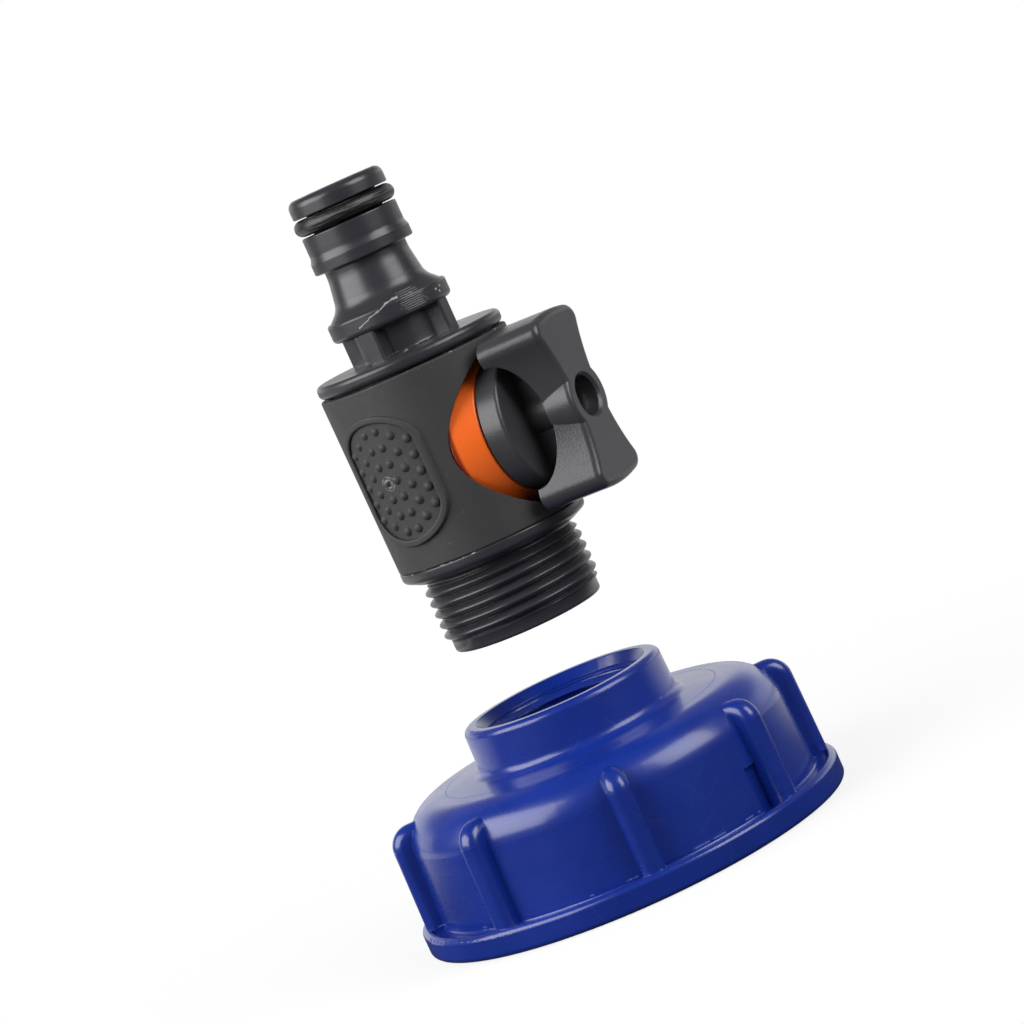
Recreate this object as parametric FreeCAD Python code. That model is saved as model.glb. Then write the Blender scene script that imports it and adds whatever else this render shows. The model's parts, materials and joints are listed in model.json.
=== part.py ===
import FreeCAD, Part
import math
import os

os.makedirs("parts", exist_ok=True)

V = FreeCAD.Vector
ORIGIN = V(0, 0, 0)
UP = V(0, 0, 1)

# All sizes are in millimetres. The row stands on the cap's flange at z = 0, the pipe axis is +Z,
# and the lever's stem points along -Y.

# clearances
SEAT_GAP = 0.1       # radial gap of a turned piece dropped in a bore of the same assembly
SHAFT_GAP = 0.05     # radial running gap of the stem in the bonnet
BALL_GAP = 0.04      # gap between the ball and its seats
TURN_GAP = 0.3       # gap between the lever's disc and the bonnet
THREAD_GAP = 0.3     # radial gap between the plain envelopes of the 3/4 inch thread pair
SIT_GAP = 0.3        # gap left under the tap's lip when it is let down on the hub
LIP_GAP = 0.15       # radial gap of the two locating rings inside the grip sleeve
SOCKET_GAP = 1.1     # room under the connector's plug, where its sealing ring lies

# pipe thread and water way, shared by both halves
THREAD_R = 13.22           # crest of the 3/4 inch pipe thread
THREAD_LEN = 12.3
BORE_R = 4.0

# cap, a single moulding, built outward from its coarse thread
CAP_THREAD_R = 27.75       # crest of the coarse S60x6 internal thread
CAP_THREAD_DEPTH = 2.45
CAP_THREAD_PITCH = 6.0
CAP_THREAD_TOP = 14.4
CAP_RELIEF = 1.85          # the relief above the thread is this much wider than its crest
CAP_RELIEF_H = 4.2
CAP_WALL = 1.95            # wall outside the thread's root
CAP_CROWN = 3.5            # wall over the ceiling at the shoulder
BODY_DRAFT = 0.6
SHOULDER_R = 6.5
DOME_RISE = 0.8
FLANGE_STAND = 3.65
FLANGE_H = 4.2
RIM_W = 1.3
TROUGH_DEPTH = 0.7
HUB_WALL = 3.5
HUB_DRAFT = 0.25
HUB_STAND = 7.6
HUB_MOUTH_STEP = 1.08
HUB_MOUTH_DEPTH = 1.6
BOSS_WALL = 2.88
BOSS_FLOOR = 1.2           # wall under the hub's washer
BOSS_HOLE_R = 8.6
CAP_GASKET_H = 3.0
HUB_WASHER_H = 2.0
RIB_COUNT = 8
RIB_FIRST_DEG = -146.2
RIB_W = 3.8
RIB_STAND = 2.75
RIB_DROP = 1.2
RIB_CORNER_R = 3.6
RIB_EDGE_R = 1.7
NOTCH_DEG = -106.9
NOTCH_W = 2.6
NOTCH_H = 7.5
NOTCH_DEPTH = 1.0
CAP_THREAD_ROOT_R = CAP_THREAD_R + CAP_THREAD_DEPTH
CAP_RELIEF_R = CAP_THREAD_R + CAP_RELIEF
BODY_R = CAP_THREAD_ROOT_R + CAP_WALL
BODY_TOP_R = BODY_R - BODY_DRAFT
FLANGE_R = BODY_R + FLANGE_STAND
RIB_R = BODY_R + RIB_STAND
CEILING_Z = CAP_THREAD_TOP + CAP_RELIEF_H
DOME_EDGE_Z = CEILING_Z + CAP_CROWN
RIB_TOP_Z = DOME_EDGE_Z - RIB_DROP
DOME_Z = DOME_EDGE_Z + DOME_RISE
HUB_Z = DOME_Z + HUB_STAND
HUB_BORE_R = THREAD_R + THREAD_GAP
HUB_R = HUB_BORE_R + HUB_WALL
HUB_TOP_R = HUB_R - HUB_DRAFT
HUB_MOUTH_R = HUB_BORE_R + HUB_MOUTH_STEP
BOSS_R = HUB_BORE_R + BOSS_WALL
WASHER_FLOOR_Z = HUB_Z - THREAD_LEN - HUB_WASHER_H
BOSS_Z = WASHER_FLOOR_Z - BOSS_FLOOR

# tap, heights measured from the end of its thread
TAP_LIFT = 11.9            # the thread end stands this high over the hub while the tap is lifted off
LEAD_STEP = 0.82
LEAD_H = 2.0
INLET_R = 9.0
LIP_R = 15.6
LIP_H = 2.6
LIP_SLOPE = 1.0            # rise of the lip's conical underside
RELIEF_R = 12.1            # thread run-out under the lip
RELIEF_H = 0.8
LOCATOR_H = 0.7
TUBE_WALL = 1.5
SOCKET_WIDER = 1.1
SOCKET_DEPTH = 3.5

# grip sleeve
SLEEVE_H = 29.6
SLEEVE_STEP = 0.05
SLEEVE_DRAFT = 0.2
SLEEVE_WALL = 1.9
SLEEVE_HOLE_R = 13.65
PAD_HALF_W = 7.9
PAD_HALF_H = 10.7
PAD_STRAIGHT = 4.6         # half height of the straight part of the oval's sides
PAD_BEAD_W = 1.15
PAD_BEAD_H = 0.55
PAD_FROM_STEM_DEG = 102.0
DOT_R = 0.78
DOT_H = 0.42
DOT_PITCH = 2.7
DOT_STEP_DEG = 8.7
DOT_ROWS = (5, 6, 7, 7, 6, 5)

TAP_Z = HUB_Z + TAP_LIFT
LEAD_R = THREAD_R - LEAD_STEP
LIP_BOTTOM = THREAD_LEN
LIP_TOP = LIP_BOTTOM + LIP_H
SLEEVE_TOP = LIP_TOP + SLEEVE_H
SLEEVE_BOTTOM_R = LIP_R - SLEEVE_STEP
SLEEVE_TOP_R = SLEEVE_BOTTOM_R + SLEEVE_DRAFT
SLEEVE_MID_R = (SLEEVE_BOTTOM_R + SLEEVE_TOP_R) / 2
SLEEVE_IN_R = SLEEVE_MID_R - SLEEVE_WALL
LOCATOR_R = SLEEVE_IN_R - LIP_GAP
STEM_AT = (LIP_TOP + SLEEVE_TOP) / 2     # the stem axis
SOCKET_R = BORE_R + SOCKET_WIDER
TUBE_R = SOCKET_R + TUBE_WALL
TUBE_TOP = SLEEVE_TOP - 1.0
SOCKET_FLOOR = TUBE_TOP - SOCKET_DEPTH

# ball chamber, distances out along the stem from the pipe axis
BALL_R = 7.0
CHAMBER_BORE_R = BALL_R + 1.2
CHAMBER_R = CHAMBER_BORE_R + 2.2
CHAMBER_FLOOR = BALL_R + 0.4
CHAMBER_BACK = CHAMBER_FLOOR + 1.6
CHAMBER_RIM = BALL_R + 1.8
SEAT_POCKET_R = BORE_R + 2.1
SEAT_POCKET_END = BALL_R + 2.2
SEAT_BACK = BALL_R + 0.7
SEAT_FRONT = BALL_R - 2.8

# bonnet
BONNET_RIM_R = SLEEVE_HOLE_R - 0.2
BONNET_RIM_OUT = CHAMBER_RIM - 0.8
BONNET_RIM_IN = BONNET_RIM_OUT - 1.1
BONNET_TOP_R = 11.0
BONNET_TOP = CHAMBER_RIM + 3.6
BONNET_PLUG_IN = CHAMBER_RIM - 1.3
BONNET_NECK_R = 5.6
BONNET_NECK_TOP = BONNET_TOP + 1.8

# stem
STEM_R = 3.2
STEM_SHOULDER_R = 5.0
STEM_SHOULDER_IN = BALL_R + 0.4
STEM_SHOULDER_OUT = STEM_SHOULDER_IN + 1.2
STEM_WASHER_H = 0.6
STEM_TENON_R = 2.4
STEM_TENON_TOP = BONNET_NECK_TOP + 6.2
STEM_RING_R = 0.5
STEM_RING_AT = (BONNET_TOP - 1.9, BONNET_TOP + 0.4)
BLADE_W = 2.9
BLADE_LEN = 8.0
SLOT_FLOOR = BALL_R - 2.0

# lever
DISC_R = 11.0
DISC_DRAFT = 0.25
DISC_H = 3.8
DISC_EDGE_R = 0.6
WING_H = 10.25
WING_SINK = 0.45           # the wing's inner face lies this far inside the disc's top
WING_HALF_LEN = 14.4       # half length over the crowned ends
WING_CROWN = 1.1
WING_END_W = 8.1           # half width at the end corners
WING_WAIST_W = 4.5
WING_DRAFT = 2.0
WING_CORNER_R = 2.2
WING_EDGE_R = 1.15
POCKET_WALL = 4.3
POCKET_RISE = 5.0
WEB_HALF = 2.1
POST_R = 3.4
LEVER_BOSS_R = 5.8
LEVER_HOLE_R = 3.3
LEVER_HOLE_DEPTH = 4.9
DISC_TOP_R = DISC_R - DISC_DRAFT
DISC_TOP = BONNET_TOP + TURN_GAP + DISC_H
WING_IN = DISC_TOP - WING_SINK
WING_OUT = WING_IN + WING_H
POCKET_HALF = WING_HALF_LEN - POCKET_WALL
LEVER_HOLE_FLOOR = WING_OUT - LEVER_HOLE_DEPTH

# spigot, built up from the sleeve's top, its nose measured down from the end
CONN_FLANGE_H = 2.15
CONN_TUBE_R = 6.9
POST_COUNT = 4
POST_W = 2.9
POST_OUT_R = 9.6
POST_H = 4.9
COLLAR_R = 10.0
COLLAR_H = 3.1
FLARE_H = 6.4
SPIGOT_H = 20.0            # collar to the end of the nose
NECK_R = 6.85
RIDGE_R = 8.3
RIDGE_H = 1.85             # height of the ridge's straight wall and lower rounding
RIDGE_RAMP = 0.85
NOSE_R = 7.95
NOSE_LAND = 3.4
GROOVE_H = 3.1
TIP_H = 2.95
TIP_EDGE_R = 1.3
GROOVE_R = 5.8
NOSE_BORE_R = 4.4
SPIGOT_RING_R = 1.31
PLUG_END = SOCKET_FLOOR + SOCKET_GAP
CONN_FLANGE_BOTTOM = SLEEVE_TOP + SIT_GAP
CONN_FLANGE_TOP = CONN_FLANGE_BOTTOM + CONN_FLANGE_H
COLLAR_BOTTOM = CONN_FLANGE_TOP + POST_H
COLLAR_TOP = COLLAR_BOTTOM + COLLAR_H
NECK_BOTTOM = COLLAR_TOP + FLARE_H
TAP_TOP = COLLAR_TOP + SPIGOT_H
GROOVE_TOP = TAP_TOP - TIP_H
GROOVE_BOTTOM = GROOVE_TOP - GROOVE_H
RIDGE_TOP = GROOVE_BOTTOM - NOSE_LAND - RIDGE_RAMP
RIDGE_BOTTOM = RIDGE_TOP - RIDGE_H


def rounded_wire(corners):
    """Closed wire in the XZ plane; a corner is (x, z) or (x, z, rounding radius)."""
    count = len(corners)
    legs = []
    for i in range(count):
        here = V(corners[i][0], 0, corners[i][1])
        before = V(corners[i - 1][0], 0, corners[i - 1][1])
        after = V(corners[(i + 1) % count][0], 0, corners[(i + 1) % count][1])
        radius = corners[i][2] if len(corners[i]) > 2 else 0
        if not radius:
            legs.append((here, None, here))
            continue
        back = (before - here).normalize()
        ahead = (after - here).normalize()
        half = back.getAngle(ahead) / 2
        reach = radius / math.tan(half)
        middle = (back + ahead).normalize()
        centre = here + middle * (radius / math.sin(half))
        legs.append((here + back * reach, centre - middle * radius, here + ahead * reach))
    edges = []
    for i in range(count):
        start, through, end = legs[i]
        if through is not None:
            edges.append(Part.Arc(start, through, end).toShape())
        following = legs[(i + 1) % count][0]
        if end.distanceToPoint(following) > 1e-6:
            edges.append(Part.makeLine(end, following))
    return Part.Wire(edges)


def turned(corners, rise=0.0):
    """Solid of revolution about the pipe axis."""
    face = Part.Face(rounded_wire(corners))
    face.translate(V(0, 0, rise))
    return face.revolve(ORIGIN, UP, 360)


def rod(radius, low, high):
    return Part.makeCylinder(radius, high - low, V(0, 0, low))


def ring(centre_r, section_r, height):
    return Part.makeTorus(centre_r, section_r, V(0, 0, height))


def on_stem(shape):
    """Turns a piece drawn along +Z so that it points out along the stem."""
    placed = shape.copy()
    placed.rotate(ORIGIN, V(1, 0, 0), 90)
    placed.translate(V(0, 0, TAP_Z + STEM_AT))
    return placed


def solid_of(shape):
    clean = shape.removeSplitter()
    return clean.Solids[0] if len(clean.Solids) == 1 else clean


def save(shape, name):
    solid = solid_of(shape)
    print(name, len(solid.Solids), "solid", solid.isValid(), round(solid.Volume, 1), "mm3")
    solid.exportStep("parts/" + name + ".step")
    return solid


def edges_where(shape, wanted):
    return [edge for edge in shape.Edges if wanted(edge.BoundBox)]


# cap
trough_z = FLANGE_H - TROUGH_DEPTH
cap_corners = [
    (CAP_THREAD_R + 0.9, 0),
    (FLANGE_R, 0, 0.8),
    (FLANGE_R, FLANGE_H, 0.9),
    (FLANGE_R - RIM_W, FLANGE_H, 0.3),
    (FLANGE_R - RIM_W - 0.4, trough_z, 0.3),
    (BODY_R, trough_z, 0.5),
    (BODY_TOP_R, DOME_EDGE_Z, SHOULDER_R),
    (HUB_R, DOME_Z, 1.5),
    (HUB_TOP_R, HUB_Z, 1.1),
    (HUB_MOUTH_R, HUB_Z, 0.3),
    (HUB_BORE_R, HUB_Z - HUB_MOUTH_DEPTH),
    (HUB_BORE_R, WASHER_FLOOR_Z),
    (BOSS_HOLE_R, WASHER_FLOOR_Z),
    (BOSS_HOLE_R, BOSS_Z, 0.4),
    (BOSS_R, BOSS_Z, 0.6),
    (BOSS_R, CEILING_Z, 0.6),
    (CAP_RELIEF_R, CEILING_Z, 0.8),
    (CAP_RELIEF_R, CAP_THREAD_TOP),
    (CAP_THREAD_R, CAP_THREAD_TOP - 0.5),
    (CAP_THREAD_R, 0.9),
]
cap = turned(cap_corners)

rib_root_r = CAP_THREAD_ROOT_R + 0.7
rib_profile = rounded_wire([
    (rib_root_r, trough_z - 0.6),
    (RIB_R, trough_z - 0.6),
    (RIB_R - 0.35, RIB_TOP_Z, RIB_CORNER_R),
    (CAP_RELIEF_R - 1.0, RIB_TOP_Z),
    (CAP_RELIEF_R - 1.0, CEILING_Z + 0.3),
    (rib_root_r, CEILING_Z - 0.6),
])
rib = Part.Face(rib_profile).extrude(V(0, RIB_W, 0))
rib.translate(V(0, -RIB_W / 2, 0))
outer_edges = edges_where(
    rib,
    lambda b: b.YLength < 0.01 and b.ZMax > trough_z + 1
    and (b.ZMin > RIB_TOP_Z - 0.01 or b.XMax > rib_root_r + 0.1),
)
rib = rib.makeFillet(RIB_EDGE_R, outer_edges)
rib_set = []
for k in range(RIB_COUNT):
    one = rib.copy()
    one.rotate(ORIGIN, UP, RIB_FIRST_DEG + k * 360.0 / RIB_COUNT)
    rib_set.append(one)
cap = cap.fuse(rib_set)

notch = Part.makeBox(NOTCH_DEPTH + FLANGE_STAND - RIM_W - 0.7, NOTCH_W, NOTCH_H)
notch.translate(V(BODY_R - NOTCH_DEPTH, -NOTCH_W / 2, trough_z))
notch.rotate(ORIGIN, UP, NOTCH_DEG)
keep_rib = rib_set[1].copy()
cap = cap.cut(notch.cut(keep_rib))

# the coarse thread is a buttress groove that climbs the inside wall
turns_height = CAP_THREAD_TOP + 0.4 * CAP_THREAD_PITCH
groove_path = Part.makeHelix(CAP_THREAD_PITCH, turns_height, CAP_THREAD_ROOT_R)
groove_section = Part.makePolygon([
    V(CAP_THREAD_R - 0.6, 0, -2.75),
    V(CAP_THREAD_ROOT_R, 0, -1.1),
    V(CAP_THREAD_ROOT_R, 0, 1.45),
    V(CAP_THREAD_R - 0.6, 0, 2.2),
    V(CAP_THREAD_R - 0.6, 0, -2.75),
])
groove = Part.Wire(groove_path).makePipeShell([groove_section], True, True)
groove.translate(V(0, 0, -CAP_THREAD_PITCH * 0.75))
cap = cap.cut(groove)
cap = save(cap, "ibc_cap")

save(turned([
    (BOSS_R + 3.4, CEILING_Z - CAP_GASKET_H, 0.25),
    (CAP_RELIEF_R - 0.3, CEILING_Z - CAP_GASKET_H, 0.25),
    (CAP_RELIEF_R - 0.8, CEILING_Z, 0.25),
    (BOSS_R + 3.4, CEILING_Z, 0.25),
]), "cap_gasket")

save(turned([
    (BOSS_HOLE_R + 0.3, WASHER_FLOOR_Z, 0.15),
    (HUB_BORE_R - SEAT_GAP, WASHER_FLOOR_Z, 0.15),
    (HUB_BORE_R - SEAT_GAP, WASHER_FLOOR_Z + HUB_WASHER_H, 0.15),
    (BOSS_HOLE_R + 0.3, WASHER_FLOOR_Z + HUB_WASHER_H, 0.15),
]), "hub_washer")

# valve body: thread end, lip, tube and ball chamber
body = turned([
    (0, 0),
    (LEAD_R, 0, 0.5),
    (LEAD_R, LEAD_H),
    (THREAD_R, LEAD_H + 0.7),
    (THREAD_R, LIP_BOTTOM - RELIEF_H - 0.5, 0.2),
    (RELIEF_R, LIP_BOTTOM - RELIEF_H, 0.3),
    (RELIEF_R, LIP_BOTTOM, 0.3),
    (HUB_BORE_R, LIP_BOTTOM),
    (LIP_R, LIP_BOTTOM + LIP_SLOPE, 0.8),
    (LIP_R, LIP_TOP, 0.3),
    (LOCATOR_R, LIP_TOP),
    (LOCATOR_R, LIP_TOP + LOCATOR_H, 0.2),
    (TUBE_R, LIP_TOP + LOCATOR_H, 0.8),
    (TUBE_R, TUBE_TOP, 0.2),
    (0, TUBE_TOP),
], TAP_Z)
chamber = on_stem(rod(CHAMBER_R, -CHAMBER_BACK, CHAMBER_RIM))
body = body.fuse(chamber)
inlet = turned([
    (0, -1),
    (INLET_R, -1),
    (INLET_R, LIP_BOTTOM - 3.5),
    (BORE_R, LIP_TOP - 1.3),
    (0, LIP_TOP - 1.3),
], TAP_Z)
water_way = rod(BORE_R, TAP_Z - 1, TAP_Z + TAP_TOP)
seat_pocket = rod(
    SEAT_POCKET_R,
    TAP_Z + STEM_AT - SEAT_POCKET_END,
    TAP_Z + STEM_AT + SEAT_POCKET_END,
)
socket = rod(SOCKET_R, TAP_Z + SOCKET_FLOOR, TAP_Z + TUBE_TOP + 1)
chamber_bore = on_stem(rod(CHAMBER_BORE_R, -CHAMBER_FLOOR, CHAMBER_RIM + 1))
rim_groove_r = (CHAMBER_BORE_R + CHAMBER_R) / 2
rim_groove = on_stem(
    rod(rim_groove_r + 0.6, CHAMBER_RIM - 1.0, CHAMBER_RIM + 1).cut(
        rod(rim_groove_r - 0.6, CHAMBER_RIM - 1.1, CHAMBER_RIM + 1.1)
    )
)
body = body.cut([inlet, water_way, seat_pocket, socket, chamber_bore, rim_groove])
save(body, "valve_body")

save(on_stem(ring(rim_groove_r, 0.5, CHAMBER_RIM - 0.5)), "bonnet_o_ring")

# grip sleeve with its round opening and the two oval beads
sleeve = turned([
    (SLEEVE_IN_R, LIP_TOP),
    (SLEEVE_BOTTOM_R, LIP_TOP, 0.3),
    (SLEEVE_TOP_R, SLEEVE_TOP, 0.3),
    (SLEEVE_IN_R, SLEEVE_TOP),
], TAP_Z)


def oval_prism(half_w, half_h):
    """Upright oval with straight sides and elliptic ends, drawn out along +X."""
    rise = half_h - PAD_STRAIGHT
    ends = []
    for way in (1, -1):
        middle = V(0, 0, way * PAD_STRAIGHT)
        if half_w > rise:
            oval = Part.Ellipse(middle + V(0, way * half_w, 0), middle + V(0, 0, way * rise), middle)
        else:
            oval = Part.Ellipse(middle + V(0, 0, way * rise), middle - V(0, way * half_w, 0), middle)
        first = 0 if half_w > rise else -math.pi / 2
        ends.append(Part.ArcOfEllipse(oval, first, first + math.pi).toShape())
    sides = [
        Part.makeLine(V(0, way * half_w, PAD_STRAIGHT), V(0, way * half_w, -PAD_STRAIGHT))
        for way in (-1, 1)
    ]
    outline = Part.Wire(Part.__sortEdges__(ends + sides))
    return Part.Face(outline).extrude(V(2 * LIP_R, 0, 0))


bead = oval_prism(PAD_HALF_W, PAD_HALF_H).cut(
    oval_prism(PAD_HALF_W - PAD_BEAD_W, PAD_HALF_H - PAD_BEAD_W)
)
bead_top_r = SLEEVE_MID_R + PAD_BEAD_H
bead = bead.common(rod(bead_top_r, -PAD_HALF_H - 1, PAD_HALF_H + 1).cut(
    rod(SLEEVE_BOTTOM_R - 0.4, -PAD_HALF_H - 2, PAD_HALF_H + 2)
))


def on_top(edge):
    """True for the bead's two long edges that face outward."""
    return all(math.hypot(v.X, v.Y) > bead_top_r - 0.01 for v in edge.Vertexes)


bead = bead.makeFillet(0.3, [edge for edge in bead.Edges if on_top(edge)])
bead.translate(V(0, 0, TAP_Z + STEM_AT))

dome_r = (DOT_R ** 2 + DOT_H ** 2) / (2 * DOT_H)
dome_at = SLEEVE_MID_R + DOT_H - dome_r
dots = []
for column, rows in enumerate(DOT_ROWS):
    turn = (column - (len(DOT_ROWS) - 1) / 2) * DOT_STEP_DEG
    for row in range(rows):
        dot = Part.makeSphere(dome_r, V(dome_at, 0, TAP_Z + STEM_AT + (row - (rows - 1) / 2) * DOT_PITCH))
        dot.rotate(ORIGIN, UP, turn)
        dots.append(dot)
pad_parts = []
for side in (-1, 1):
    for one in [bead] + dots:
        placed = one.copy()
        placed.rotate(ORIGIN, UP, -90 + side * PAD_FROM_STEM_DEG)
        pad_parts.append(placed)
sleeve = sleeve.fuse(pad_parts)
sleeve = sleeve.cut(on_stem(rod(SLEEVE_HOLE_R, 0, 2 * SLEEVE_TOP_R)))
save(sleeve, "grip_sleeve")

# bonnet
stem_bore_r = STEM_R + SHAFT_GAP
save(on_stem(turned([
    (stem_bore_r, STEM_SHOULDER_OUT + STEM_WASHER_H + 0.05),
    (STEM_SHOULDER_R + SEAT_GAP, STEM_SHOULDER_OUT + STEM_WASHER_H + 0.05),
    (STEM_SHOULDER_R + SEAT_GAP, BONNET_PLUG_IN),
    (CHAMBER_BORE_R - SEAT_GAP, BONNET_PLUG_IN),
    (CHAMBER_BORE_R - SEAT_GAP, CHAMBER_RIM),
    (CHAMBER_R + 0.2, CHAMBER_RIM),
    (BONNET_RIM_R - 1.2, BONNET_RIM_IN),
    (BONNET_RIM_R, BONNET_RIM_IN),
    (BONNET_RIM_R, BONNET_RIM_OUT, 0.25),
    (BONNET_TOP_R, BONNET_TOP, 0.3),
    (BONNET_NECK_R, BONNET_TOP),
    (BONNET_NECK_R, BONNET_NECK_TOP, 0.2),
    (stem_bore_r, BONNET_NECK_TOP),
])), "bonnet")

# ball, seats and their backing rings
stem_z = TAP_Z + STEM_AT
ball = Part.makeSphere(BALL_R).cut(rod(BORE_R, -BALL_R - 1, BALL_R + 1))
ball.translate(V(0, 0, stem_z))
slot = Part.makeBox(BLADE_W + 2 * SEAT_GAP, 2 * BALL_R, BALL_R)
slot.translate(V(-BLADE_W / 2 - SEAT_GAP, -BALL_R, SLOT_FLOOR))
save(ball.cut(on_stem(slot)), "ball")

seat_in_r = BORE_R + 0.15
seat_out_r = SEAT_POCKET_R - SEAT_GAP
for name, way in (("upper", 1), ("lower", -1)):
    seat = rod(seat_out_r, SEAT_FRONT, SEAT_BACK).cut(rod(seat_in_r, SEAT_FRONT - 1, SEAT_BACK + 1))
    seat = seat.cut(Part.makeSphere(BALL_R + BALL_GAP))
    backing = ring((BORE_R + SEAT_POCKET_R) / 2 + 0.05, (SEAT_POCKET_END - SEAT_BACK) / 2,
                   (SEAT_POCKET_END + SEAT_BACK) / 2)
    for piece in (seat, backing):
        if way < 0:
            piece.rotate(ORIGIN, V(1, 0, 0), 180)
        piece.translate(V(0, 0, stem_z))
    save(seat, "seat_" + name)
    save(backing, "seat_o_ring_" + name)

# stem with its shoulder, two ring grooves, blade and flatted tenon
ring_floor_r = STEM_R - 2 * STEM_RING_R + 0.02
stem_corners = [
    (0, STEM_SHOULDER_IN),
    (STEM_SHOULDER_R, STEM_SHOULDER_IN, 0.2),
    (STEM_SHOULDER_R, STEM_SHOULDER_OUT),
    (STEM_R, STEM_SHOULDER_OUT),
]
for at in STEM_RING_AT:
    stem_corners.append((STEM_R, at - STEM_RING_R - 0.15))
    stem_corners.append((ring_floor_r, at - STEM_RING_R - 0.15))
    stem_corners.append((ring_floor_r, at + STEM_RING_R + 0.15))
    stem_corners.append((STEM_R, at + STEM_RING_R + 0.15))
tenon_foot = BONNET_NECK_TOP + TURN_GAP
stem_corners.append((STEM_R, tenon_foot))
stem_corners.append((STEM_TENON_R, tenon_foot))
stem_corners.append((STEM_TENON_R, STEM_TENON_TOP, 0.3))
stem_corners.append((0, STEM_TENON_TOP))
stem = turned(stem_corners)
blade = Part.makeBox(BLADE_W, BLADE_LEN, STEM_SHOULDER_IN - SLOT_FLOOR)
blade.translate(V(-BLADE_W / 2, -BLADE_LEN / 2, SLOT_FLOOR + 0.1))
blade = blade.common(rod(STEM_SHOULDER_R - 0.3, 0, STEM_SHOULDER_OUT))
stem = stem.fuse(blade)
screw_r = 1.25
screw_tip = tenon_foot + 1.2
flat = Part.makeBox(2 * STEM_R, 2 * STEM_R, STEM_TENON_TOP)
flat.translate(V(STEM_TENON_R - 0.6, -STEM_R, tenon_foot))
stem = stem.cut([flat, rod(screw_r, screw_tip - 0.3, STEM_TENON_TOP + 1)])
save(on_stem(stem), "stem")

for name, at in zip(("inner", "outer"), STEM_RING_AT):
    save(on_stem(ring(ring_floor_r + STEM_RING_R, STEM_RING_R, at)), "stem_o_ring_" + name)

save(on_stem(turned([
    (stem_bore_r, STEM_SHOULDER_OUT),
    (STEM_SHOULDER_R - 0.1, STEM_SHOULDER_OUT),
    (STEM_SHOULDER_R - 0.1, STEM_SHOULDER_OUT + STEM_WASHER_H),
    (stem_bore_r, STEM_SHOULDER_OUT + STEM_WASHER_H),
])), "stem_washer")


# lever
def bow_tie(end_w, waist_w, height):
    """Outline of the wing: crowned ends, sides pinched in at the waist."""
    end = WING_HALF_LEN - WING_CROWN
    corner = [V(end_w, end, height), V(-end_w, end, height),
              V(-end_w, -end, height), V(end_w, -end, height)]
    return Part.Wire([
        Part.Arc(corner[0], V(0, WING_HALF_LEN, height), corner[1]).toShape(),
        Part.Arc(corner[1], V(-waist_w, 0, height), corner[2]).toShape(),
        Part.Arc(corner[2], V(0, -WING_HALF_LEN, height), corner[3]).toShape(),
        Part.Arc(corner[3], V(waist_w, 0, height), corner[0]).toShape(),
    ])


wing = Part.makeLoft([
    bow_tie(WING_END_W + WING_DRAFT, WING_WAIST_W + WING_DRAFT, WING_IN),
    bow_tie(WING_END_W, WING_WAIST_W, WING_OUT),
], True, True)
upright = edges_where(wing, lambda b: b.ZLength > 5)
wing = wing.makeFillet(WING_CORNER_R, upright)
wing = wing.makeFillet(WING_EDGE_R, edges_where(wing, lambda b: b.ZMin > WING_OUT - 0.01))
pocket_side = Part.Face(Part.Wire([
    Part.makeLine(V(0, -POCKET_HALF, WING_IN - 1), V(0, POCKET_HALF, WING_IN - 1)),
    Part.makeLine(V(0, POCKET_HALF, WING_IN - 1), V(0, POCKET_HALF, DISC_TOP)),
    Part.ArcOfEllipse(
        Part.Ellipse(V(0, POCKET_HALF, DISC_TOP), V(0, 0, DISC_TOP + POCKET_RISE), V(0, 0, DISC_TOP)),
        0, math.pi,
    ).toShape(),
    Part.makeLine(V(0, -POCKET_HALF, DISC_TOP), V(0, -POCKET_HALF, WING_IN - 1)),
]))
pockets = []
for way in (-1, 1):
    one = pocket_side.copy()
    one.translate(V(way * WEB_HALF, 0, 0))
    pockets.append(one.extrude(V(way * 2 * (WING_END_W + WING_DRAFT), 0, 0)))
wing = wing.cut(pockets)
disc = turned([
    (0, BONNET_TOP + TURN_GAP),
    (DISC_R, BONNET_TOP + TURN_GAP, 0.2),
    (DISC_TOP_R, DISC_TOP, DISC_EDGE_R),
    (0, DISC_TOP),
])
post = rod(POST_R, DISC_TOP - 1, DISC_TOP + POCKET_RISE + 0.5)
boss = rod(LEVER_BOSS_R, DISC_TOP + POCKET_RISE - 0.2, WING_OUT)
boss = boss.makeFillet(0.8, edges_where(boss, lambda b: b.ZMin > WING_OUT - 0.01))
lever = wing.fuse([disc, post, boss])
neck_room = rod(BONNET_NECK_R + 0.3, BONNET_TOP, tenon_foot)
tenon_hole = rod(STEM_TENON_R + 0.05, tenon_foot - 1, STEM_TENON_TOP + 0.2)
flat.translate(V(0.05, 0, 0))
tenon_hole = tenon_hole.cut(flat)
shank_hole = rod(screw_r + 0.2, STEM_TENON_TOP - 1, LEVER_HOLE_FLOOR + 1)
finger_hole = rod(LEVER_HOLE_R, LEVER_HOLE_FLOOR, WING_OUT + 1)
mouth = Part.makeCone(LEVER_HOLE_R, LEVER_HOLE_R + 0.9, 0.9, V(0, 0, WING_OUT - 0.45))
lever = lever.cut([neck_room, tenon_hole, shank_hole, finger_hole, mouth])
save(on_stem(lever), "lever")

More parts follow.
